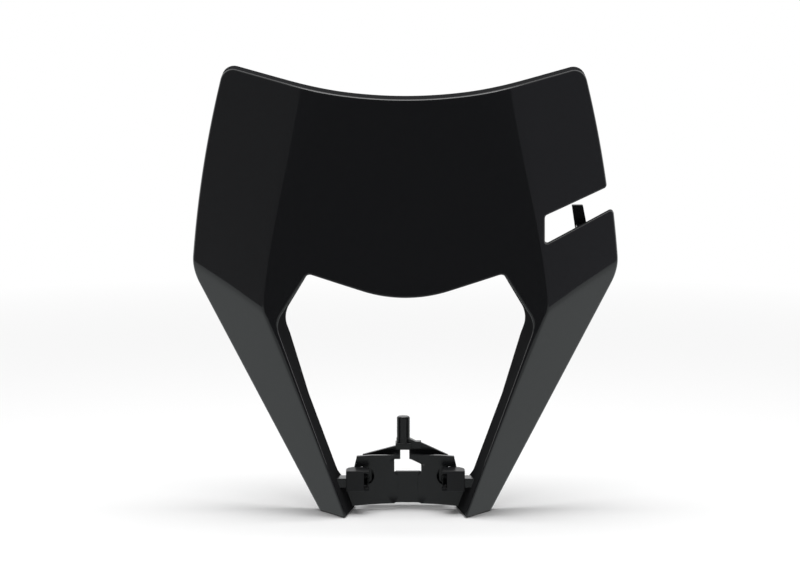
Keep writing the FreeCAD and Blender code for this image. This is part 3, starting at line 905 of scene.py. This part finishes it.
def web_bottom(x):
    """Arch of the bottom edge: its end height plus what the parabola rises in the middle."""
    end = web_right[0][0]
    return end + (web_bottom_mid_height - end) * (1 - (x / web_side(end)) ** 2)


def web_top(x):
    """Height of the plate's top: flat in the middle and falling to the sides."""
    end_height, end_half_width = web_right[-1]
    return np.interp(np.abs(x), (web_flat_half_width, end_half_width), (web_top_height, end_height))


def on_web(x, z):
    """Points of the front plate, whose middle stands further back by the sag than its ends."""
    return np.stack([x, web_depth + web_sag * (1 - (x / web_bow) ** 2), z], -1)


def steps_between(low, high):
    """Even steps of the window's step or less."""
    return np.linspace(low, high, max(2, int(math.ceil(abs(high - low) / window_step)) + 1))


def window_grids(place, bottom, top, slot_top, drop):
    """The plate above and below the window, as grids between the window's left and right sides."""
    floor = window_floor - drop
    grids = []
    for low, high in zip(window_columns, window_columns[1:]):
        x = steps_between(low, high)
        ceiling = np.interp(x, *zip(*window_ceiling)) - drop
        in_slot = low == window_columns[1]
        over = np.full(len(x), slot_top) if in_slot else ceiling
        for z_from, z_to in ((bottom(x), np.full(len(x), floor)), (over, top(x))):
            if np.all(z_to > z_from + thinnest_band):
                t = np.linspace(0, 1, plate_rows)[:, None]
                grids.append((place(x + 0 * t, z_from + (z_to - z_from) * t), False, bridge_satin))
    return grids


web_grids = window_grids(on_web, web_bottom, web_top, web_top_height, 0.0)
for side, near in ((1, window_columns[-1]), (-1, -window_columns[0])):
    ceiling = window_ceiling[-1][1] if side > 0 else window_ceiling[0][1]
    inner = [(near, z) for z in np.concatenate([
        np.linspace(web_bottom(np.array([near]))[0], window_floor, plate_rows),
        steps_between(window_floor, ceiling)[1:-1],
        np.linspace(ceiling, web_top_height, plate_rows),
    ])]
    x = steps_between(near, web_flat_half_width)[1:]
    across = [(v, web_top_height) for v in x]
    outer = [(float(web_side(z)), z) for z in steps_between(web_right[-1][0], web_right[0][0])]
    x = steps_between(web_side(web_right[0][0]), near)[1:-1]
    arch = list(zip(x, web_bottom(x)))
    loop = np.array(inner + across + outer + arch + inner[:1], float)
    hole_centre = (cup_hole_half_width, cup_hole_height)
    spoke = loop - hole_centre
    hole = cup_hole_radius * spoke / np.linalg.norm(spoke, axis=1)[:, None] + hole_centre
    t = np.linspace(0, 1, ring_rows)[:, None, None]
    ring = loop + (hole - loop) * t
    web_grids.append((on_web(side * ring[..., 0], ring[..., 1]), side < 0, bridge_satin))
mesh_of("bridge_front", web_grids, bevel=plate_bevel, thickness=web_wall)


def rear_place(x, z):
    """Points of the rear wall."""
    return np.stack([x, np.full(np.shape(x), rear_depth), z], -1)


def rear_top_at(x):
    """Height of the rear wall's top, with its sloping shoulders."""
    return np.interp(x, *zip(*rear_top))


def rear_bottom_at(x):
    """Height of the rear wall's straight bottom edge."""
    return np.full(np.shape(x), rear_bottom)


rear_drop = window_drop * (rear_depth - web_depth)
rear_slot_top = window_slot_top - rear_drop
rear_grids = window_grids(rear_place, rear_bottom_at, rear_top_at, rear_slot_top, rear_drop)
for low, high in ((-rear_half_width, window_columns[0]), (window_columns[-1], rear_half_width)):
    x = steps_between(low, high)
    ceiling = (window_ceiling[0][1] if low < 0 else window_ceiling[-1][1]) - rear_drop
    floor = window_floor - rear_drop
    t = np.linspace(0, 1, plate_rows)[:, None]
    z = np.concatenate([
        rear_bottom + (floor - rear_bottom) * t + 0 * x,
        floor + (ceiling - floor) * t[1:] + 0 * x,
        ceiling + (rear_top_at(x) - ceiling) * t[1:],
    ])
    rear_grids.append((rear_place(x + 0 * z, z), False, bridge_satin))
mesh_of("bridge_rear", rear_grids, bevel=wall_bevel, thickness=rear_wall)


def prism_piece(name, corners, low, high, axis=1, bevel=wall_bevel):
    """A block with the outline's corners, from low to high along an axis (1 is depth, 2 is height)."""
    corners = np.array(corners, float)
    count = len(corners)
    ends = [np.insert(corners, axis, level, axis=1) for level in (low, high)]
    faces = [list(range(count)), list(range(2 * count - 1, count - 1, -1))]
    faces += [[k, count + k, count + (k + 1) % count, (k + 1) % count] for k in range(count)]
    ahead = np.roll(corners, -1, axis=0)
    area = np.sum(corners[:, 0] * ahead[:, 1] - ahead[:, 0] * corners[:, 1])
    if (area < 0) == (axis == 1):
        faces = [face[::-1] for face in faces]
    points = to_frame(np.concatenate(ends))
    return piece_of(name, points, faces, [bridge_satin] * len(faces), bevel, 0.0)


def rectangle(low_a, high_a, low_b, high_b):
    """Corners of a rectangle."""
    return [(low_a, low_b), (high_a, low_b), (high_a, high_b), (low_a, high_b)]


def revolved(name, profile, centre, axis):
    """The profile (radius, place along the axis) swung round the axis (1 depth, 2 height)."""
    angle = np.linspace(0, 2 * math.pi, turned_sides + 1)
    radius = np.array([r for r, _ in profile])[:, None]
    along = np.array([a for _, a in profile])[:, None] + 0 * angle
    first = centre[0] + radius * np.cos(angle)
    second = centre[1] + radius * np.sin(angle)
    rows = [first, second]
    rows.insert(axis, along)
    return mesh_of(name, [(np.stack(rows, -1), axis == 1, bridge_satin)], bevel=turned_bevel)


rib_half_width = 21.0
rib_top = 28.2
rib_gap_front = 3.0
rib_sink_rear = 0.5
hands = ((1, "right"), (-1, "left"))
for side, hand in hands:
    low = side * rib_half_width - web_wall / 2
    rib = rectangle(low, low + web_wall, rear_bottom, rib_top)
    prism_piece("bridge_rib_" + hand, rib, web_depth + rib_gap_front, rear_depth + rib_sink_rear)

# Locating pin.
# A plain upright pin with a chamfered end stands on a block on the rear wall. The latch beside it
# is a wedge that falls away from the pin.
pin_x = -1.2
pin_radius = 3.85
pin_chamfer = 0.6
pin_top = 54.2
pin_base_radius = 4.15
pin_base_top = 41.2
block_half = 4.7
block_bottom = 34.6
block_top = 38.6
block_depth_half = 4.5
latch_start = pin_x + pin_base_radius
latch_end = latch_start + 6.5
latch_flat = latch_start + 3.3
latch_top = 40.8
latch_low = 39.2
latch_half = 2.6
latch_sink = 0.2
latch_inside = 1.0
latch_bevel = 0.25
pin_sink = 0.5
pin_depth = rear_depth + rear_wall / 2
pin_profile = [
    (pin_base_radius, block_bottom + pin_sink), (pin_base_radius, pin_base_top),
    (pin_radius, pin_base_top), (pin_radius, pin_top - pin_chamfer),
    (pin_radius - pin_chamfer, pin_top), (0.0, pin_top),
]
revolved("locating_pin", pin_profile, (pin_x, pin_depth), 2)
block = rectangle(pin_x - block_half, pin_x + block_half,
                  pin_depth - block_depth_half, pin_depth + block_depth_half)
prism_piece("pin_block", block, block_bottom, block_top, axis=2)
latch_inner = pin_x + latch_inside
latch_foot = block_bottom + latch_sink
latch = [
    (latch_inner, latch_foot), (latch_end, latch_foot), (latch_end, latch_low),
    (latch_flat, latch_low), (latch_start, latch_top), (latch_inner, latch_top),
]
prism_piece("latch", latch, pin_depth - latch_half, pin_depth + latch_half, bevel=latch_bevel)

# Cups for the lamp's lower pivots.
# Two hoods in front of the bridge, beside the legs: flat in front, round at the back and open to
# the middle, each joined to the bridge by a neck and to its leg by a short ear.
cup_satin = 0.6
cup_inner = 21.5
cup_outer = 35.0
cup_slot = 24.4
cup_front = 9.0
cup_back = 22.2
cup_low = 14.4
cup_high = 26.6
cup_wall = 1.8
cup_bevel = 0.45
cup_neck_sink = 1.0
cup_round_steps = 25
cup_turn_steps = 6
ear_height = 5.6
ear_bevel = 0.3
cup_radius = (cup_outer - cup_inner) / 2
cup_shoulder = cup_back - cup_radius
cup_middle = (cup_inner + cup_outer) / 2
slot_angle = math.acos((cup_slot - cup_middle) / cup_radius)
arc = np.concatenate([
    np.linspace(0, slot_angle, cup_round_steps), np.linspace(slot_angle, math.pi, cup_turn_steps)[1:],
])
curve = np.stack([cup_middle + cup_radius * np.cos(arc), cup_shoulder + cup_radius * np.sin(arc)], -1)
cup_face = [(cup_inner, cup_front), (cup_slot, cup_front), (cup_outer, cup_front)]
cup_line = np.concatenate([cup_face, curve])
walled = range(1, len(cup_face) + cup_round_steps - 1)
for side, hand in hands:
    line = cup_line * (side, 1)
    count = len(line)
    levels = [np.insert(line, 2, level, axis=1) for level in (cup_low, cup_high)]
    faces = [list(range(count))[::-1], [count + k for k in range(count)]]
    faces += [[k, k + 1, count + k + 1, count + k] for k in walled]
    if side < 0:
        faces = [face[::-1] for face in faces]
    dull = [cup_satin] * len(faces)
    piece_of("cup_" + hand, to_frame(np.concatenate(levels)), faces, dull, cup_bevel, cup_wall)
    neck_sides = sorted((side * (cup_middle - cup_wall), side * cup_outer))
    neck = rectangle(*neck_sides, cup_back - 2 * cup_wall, web_depth + cup_neck_sink)
    prism_piece("cup_neck_" + hand, neck, cup_low, cup_high - 2 * cup_wall, axis=2)
    ear_end = leg_inside((cup_front + cup_back) / 2, cup_hole_height) + rim_wall / 2
    ear_sides = sorted((side * (cup_outer - cup_wall), side * ear_end))
    ear = rectangle(*ear_sides, cup_front + cup_wall, cup_back - cup_wall)
    ear_low = cup_low + cup_wall
    prism_piece("cup_ear_" + hand, ear, ear_low, ear_low + ear_height, axis=2, bevel=ear_bevel)

# Strap hooks and lamp bosses.
# Behind each wing an arm runs back and ends in a finger for the rubber strap. Above the opening two
# short tubes take the lamp's upper screws.
hook_inner = 100.9
hook_outer = 108.3
hook_low = 163.7
hook_arm = 4.6
hook_reach = 50.0
hook_finger = 4.0
hook_top = 179.6
hook_lean = 3.2
hook_taper = 0.8
boss_x = 62.0
boss_z = 158.0
boss_radius = 4.6
bore_radius = 1.9
boss_reach = 22.0
bore_depth = 16.0
sink = 1.4


def sunk(x, z):
    """Depth inside the wall at (x, z), where a part behind it starts."""
    return float(front_depth(np.array([x]), np.array([z]), sink)[0])


for side, hand in hands:
    hook_front = sunk(side * hook_inner, hook_low)
    arm = [(side * x, y) for x, y in (
        (hook_inner, hook_front), (hook_outer, hook_front + (hook_outer - hook_inner)),
        (hook_outer, hook_reach), (hook_inner, hook_reach),
    )]
    prism_piece("hook_arm_" + hand, arm, hook_low, hook_low + hook_arm, axis=2)
    finger = [(side * x, z) for x, z in (
        (hook_inner, hook_low), (hook_outer, hook_low), (hook_outer - hook_lean, hook_top),
        (hook_inner - hook_lean + hook_taper, hook_top),
    )]
    prism_piece("hook_finger_" + hand, finger, hook_reach - hook_finger, hook_reach)
    boss_start = sunk(side * boss_x, boss_z)
    tube = [
        (boss_radius, boss_start), (boss_radius, boss_reach), (bore_radius, boss_reach),
        (bore_radius, boss_reach - bore_depth), (0.0, boss_reach - bore_depth),
    ]
    revolved("lamp_boss_" + hand, tube, (side * boss_x, boss_z), 1)

# Studio.
# A white table that fades into a white room, one wide lamp overhead, and painted reflections:
# sheets out of sight that glow at set shades and are seen only by the gloss, dark in front, grey at
# the sides and pale grey low over the table. They light nothing and cast no shadow.
table_size = 7.0
table_fade = (0.3, 0.9)
table_paint = (0.93, 0.93, 0.93, 1)
white_light = (1, 1, 1)
world_light = 0.42
world_seen = 1.0
reflection_sheet_front = -0.42
reflection_sheet_back = 0.35
reflection_sheet_side = 0.9
reflection_sheet_front_half, reflection_sheet_front_height = 3, 2.5
reflection_sheet_side_height = 1.2
reflection_sheet_low_half, reflection_sheet_low_height = 1.2, 0.001


def bare(owner):
    """The owner's emptied node tree and its output node."""
    owner.use_nodes = True
    owner.node_tree.nodes.clear()
    kind = "World" if isinstance(owner, bpy.types.World) else "Material"
    return owner.node_tree, owner.node_tree.nodes.new("ShaderNodeOutput" + kind)


def shader(own, kind, colour, strength):
    """A shader node of one colour and strength."""
    return added(own.nodes, "ShaderNode" + kind, {0: (*colour, 1), 1: strength})


def seen_directly(own):
    """1 for camera, glossy and transmission rays, 0 for the others."""
    path = own.nodes.new("ShaderNodeLightPath")
    total = path.outputs["Is Camera Ray"]
    for name in ("Is Glossy Ray", "Is Transmission Ray"):
        either = added(own.nodes, "ShaderNodeMath", operation="MAXIMUM")
        wire(own, (total, either.inputs[0]), (path.outputs[name], either.inputs[1]))
        total = either.outputs[0]
    return total


def sheet(name, corners, material):
    """A flat sheet of the studio, which isn't part of the cowl."""
    mesh = bpy.data.meshes.new(name)
    mesh.from_pydata(corners, [], [list(range(len(corners)))])
    mesh.materials.append(material)
    item = bpy.data.objects.new(name, mesh)
    link(item)
    return item


def mixed(own, share, first, second, output):
    """Sends the mix of two shaders to the output."""
    mix = own.nodes.new("ShaderNodeMixShader")
    sources = (share, first.outputs[0], second.outputs[0])
    wire(own, *zip(sources, mix.inputs), (mix.outputs[0], output.inputs[0]))


def level_square(half, z):
    """Corners of a level square about the frame's middle."""
    return [(x, y, z) for x, y in rectangle(-half, half, -half, half)]


def side_reflection_sheet(x):
    """Corners of an upright sheet beside the cowl, seen only in the gloss's reflections."""
    return [(x, y, z) for y, z in rectangle(reflection_sheet_front, reflection_sheet_back, 0, reflection_sheet_side_height)]


table_top = bpy.data.materials.new("table")
own, output = bare(table_top)
paint = added(own.nodes, "ShaderNodeBsdfDiffuse", {0: table_paint})
glow = shader(own, "Emission", white_light, 1.0)
spot = added(own.nodes, "ShaderNodeTexCoord")
distance = added(own.nodes, "ShaderNodeVectorMath", operation="LENGTH")
fade = added(own.nodes, "ShaderNodeMapRange", dict(zip(("From Min", "From Max"), table_fade)))
faded = added(own.nodes, "ShaderNodeMath", operation="MULTIPLY")
wire(
    own,
    (spot.outputs["Object"], distance.inputs[0]),
    (distance.outputs["Value"], fade.inputs["Value"]),
    (fade.outputs["Result"], faded.inputs[0]),
    (seen_directly(own), faded.inputs[1]),
)
mixed(own, faded.outputs[0], paint, glow, output)
sheet("table", level_square(table_size, 0), table_top)

world = bpy.data.worlds.new("studio")
bpy.context.scene.world = world
own, output = bare(world)
ambient = shader(own, "Background", white_light, world_light)
white = shader(own, "Background", white_light, world_seen)
mixed(own, seen_directly(own), ambient, white, output)

front_outline = rectangle(-reflection_sheet_front_half, reflection_sheet_front_half, 0, reflection_sheet_front_height)
# Painted reflections: each sheet glows at a set shade and only glossy rays see it. The dark front one
# darkens the face's reflection, the grey sides shade the wings' (the right one lighter and bluer than
# the left), and the pale one just over the table dims the legs' reflection of the floor.
painted_reflection_sheets = (
    ("reflection_sheet_front", (0.05, 0.05, 0.055), [(x, reflection_sheet_front, z) for x, z in front_outline]),
    ("reflection_sheet_left", (0.155, 0.155, 0.16), side_reflection_sheet(-reflection_sheet_side)),
    ("reflection_sheet_right", (0.19, 0.19, 0.21), side_reflection_sheet(reflection_sheet_side)),
    ("reflection_sheet_low", (0.54, 0.57, 0.57), level_square(reflection_sheet_low_half, reflection_sheet_low_height)),
)
for name, colour, corners in painted_reflection_sheets:
    surface = bpy.data.materials.new(name)
    own, output = bare(surface)
    wire(own, (shader(own, "Emission", colour, 1.0).outputs[0], output.inputs[0]))
    reflection_only_sheet = sheet(name, corners, surface)
    # Hidden from camera, diffuse, shadow, transmission and volume rays: the sheets light nothing, cast
    # no shadow and only paint reflections onto the gloss.
    for ray in ("camera", "diffuse", "shadow", "transmission", "volume_scatter"):
        setattr(reflection_only_sheet, "visible_" + ray, False)

softbox = bpy.data.lights.new("softbox", "AREA")
softbox.shape = "RECTANGLE"
softbox.size, softbox.size_y = 1.2, 0.8
softbox.energy = 15.7
softbox_item = bpy.data.objects.new("softbox", softbox)
link(softbox_item)
softbox_item.location = (0, -0.1, 1.3)

bpy.context.scene.view_settings.view_transform = "Standard"
